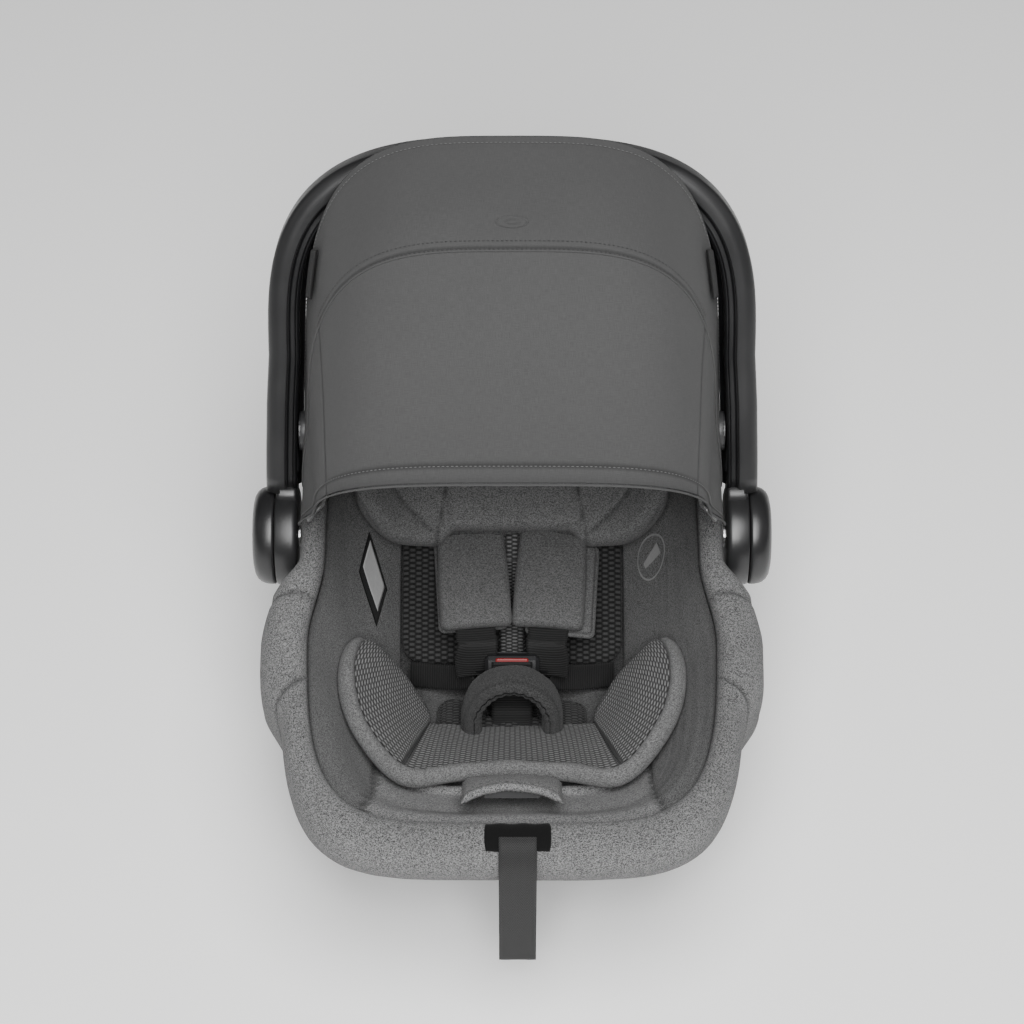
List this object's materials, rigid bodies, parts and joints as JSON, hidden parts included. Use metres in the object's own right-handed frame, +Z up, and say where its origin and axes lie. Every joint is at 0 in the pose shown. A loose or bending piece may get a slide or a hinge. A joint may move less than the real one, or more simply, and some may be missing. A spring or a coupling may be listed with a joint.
{
  "type": "infant car seat",
  "caption": "Rear-facing infant carrier seat with a turning carry handle, folding canopy, padded rim, infant insert, harness with buckle, and sliding headrest.",
  "frame": {"origin": "middle of the length and width, on the floor under the runners", "axes": "+Z up, -Y towards the foot end, +Y towards the head end, +X to the occupant's left"},
  "size_m": [0.44, 0.631, 0.595],
  "materials": {
    "shell_plastic": "matt moulded",
    "base_plastic": "matt moulded",
    "handle_plastic": "fine texture",
    "handle_cover_plastic": "fine texture",
    "trim_plastic": "satin",
    "red_plastic": "satin",
    "gear_nylon": "satin",
    "steel": "plain",
    "liner_foam": "moulded foam",
    "rim_fabric": "light heather weave",
    "inner_fabric": "dark heather weave",
    "canopy_fabric": "plain weave",
    "knit_fabric": "open knit",
    "webbing": "woven webbing"
  },
  "bodies": {
    "seat": {"shell": "shell_plastic", "foam_liner": "liner_foam", "inner_cover": "inner_fabric", "rim_cover": "rim_fabric", "runner_left": "base_plastic", "runner_right": "base_plastic", "latch_bar_front": "steel", "latch_bar_rear": "steel", "handle_axle_left": "steel", "handle_axle_right": "steel", "canopy_top_panel": "canopy_fabric", "canopy_back_panel": "canopy_fabric", "canopy_rear_bow": "steel", "canopy_bracket_left": "trim_plastic", "canopy_bracket_right": "trim_plastic", "back_pad": "knit_fabric", "shoulder_pad_left": "knit_fabric", "shoulder_pad_right": "knit_fabric", "shoulder_strap_left": "webbing", "shoulder_strap_right": "webbing", "crotch_strap": "webbing", "buckle_body": "trim_plastic", "buckle_spring": "steel", "tongue_left": "steel", "tongue_right": "steel", "crotch_pad": "inner_fabric", "insert_base": "knit_fabric", "insert_bolster": "rim_fabric", "lap_strap_left": "webbing", "lap_strap_right": "webbing", "adjuster_housing": "trim_plastic", "adjuster_strap": "webbing", "rim_tag": "webbing", "belt_guide_left": "trim_plastic", "belt_guide_right": "trim_plastic"},
    "handle": {"handle_frame": "handle_plastic", "handle_cover": "handle_cover_plastic", "hub_cap_left": "handle_plastic", "hub_cap_right": "handle_plastic"},
    "handle_button_left": {"handle_button_left": "trim_plastic"},
    "handle_button_right": {"handle_button_right": "trim_plastic"},
    "lock_gear_left": {"lock_gear_left": "gear_nylon"},
    "lock_gear_right": {"lock_gear_right": "gear_nylon"},
    "canopy_mid": {"canopy_mid_bow": "steel", "canopy_front_panel": "canopy_fabric"},
    "canopy_front": {"canopy_front_bow": "steel"},
    "headrest": {"headrest_carrier": "trim_plastic", "headrest_pad": "inner_fabric", "headrest_lever": "trim_plastic"},
    "buckle_button": {"buckle_button": "red_plastic"},
    "adjuster_button": {"adjuster_button": "steel"},
    "adjuster_flap": {"adjuster_flap": "rim_fabric"},
    "release_lever": {"release_lever": "trim_plastic"},
    "latch_hook": {"latch_hook": "steel"}
  },
  "joints": [
    {"name": "handle_turn", "type": "hinge", "parent": "seat", "child": "handle", "pos_m": [0, 0.0175, 0.243], "axis": [-1, 0, 0], "range_deg": [0, 75]},
    {"name": "handle_button_left_press", "type": "slide", "parent": "handle", "child": "handle_button_left", "axis": [-1, 0, 0], "range_m": [0, 0.003], "stiffness_N_per_m": 500, "springref_m": -0.002},
    {"name": "handle_button_right_press", "type": "slide", "parent": "handle", "child": "handle_button_right", "axis": [1, 0, 0], "range_m": [0, 0.003], "stiffness_N_per_m": 500, "springref_m": -0.002},
    {"name": "lock_gear_left_slide", "type": "slide", "parent": "handle", "child": "lock_gear_left", "axis": [1, 0, 0], "range_m": [0, 0.003]},
    {"name": "lock_gear_right_slide", "type": "slide", "parent": "handle", "child": "lock_gear_right", "axis": [-1, 0, 0], "range_m": [0, 0.003]},
    {"name": "canopy_mid_turn", "type": "hinge", "parent": "seat", "child": "canopy_mid", "pos_m": [0, 0.0575, 0.329], "axis": [-1, 0, 0], "range_deg": [0, 18.2], "deforming": ["canopy_top_panel"]},
    {"name": "canopy_front_turn", "type": "hinge", "parent": "canopy_mid", "child": "canopy_front", "pos_m": [0, 0.0575, 0.329], "axis": [-1, 0, 0], "range_deg": [0, 42], "deforming": ["canopy_front_panel"]},
    {"name": "headrest_slide", "type": "slide", "parent": "seat", "child": "headrest", "axis": [0, 0.829, 0.5592], "range_m": [0, 0.045]},
    {"name": "buckle_press", "type": "slide", "parent": "seat", "child": "buckle_button", "axis": [0, 0.8131, -0.5821], "range_m": [0, 0.0015], "stiffness_N_per_m": 1500, "springref_m": -0.002, "deforming": ["buckle_spring"]},
    {"name": "adjuster_press", "type": "slide", "parent": "seat", "child": "adjuster_button", "axis": [0, -0.6087, -0.7934], "range_m": [0, 0.0015], "stiffness_N_per_m": 800, "springref_m": -0.002},
    {"name": "flap_turn", "type": "hinge", "parent": "seat", "child": "adjuster_flap", "pos_m": [0, -0.20324, 0.19455], "axis": [-1, 0, 0], "range_deg": [0, 80]},
    {"name": "release_lift", "type": "slide", "parent": "seat", "child": "release_lever", "axis": [0, 0.4695, 0.8829], "range_m": [0, 0.008], "stiffness_N_per_m": 600, "springref_m": -0.003},
    {"name": "latch_hook_turn", "type": "hinge", "parent": "seat", "child": "latch_hook", "pos_m": [0, 0.1355, 0.017], "axis": [-1, 0, 0], "range_deg": [0, 15]}
  ],
  "couplings": [
    {"joint": "lock_gear_left_slide", "follows": "handle_button_left_press", "ratio": 1},
    {"joint": "lock_gear_right_slide", "follows": "handle_button_right_press", "ratio": 1},
    {"joint": "canopy_mid_turn", "follows": "canopy_front_turn", "ratio": 0.43},
    {"joint": "latch_hook_turn", "follows": "release_lift", "rad_per_m": 32.5}
  ]
}
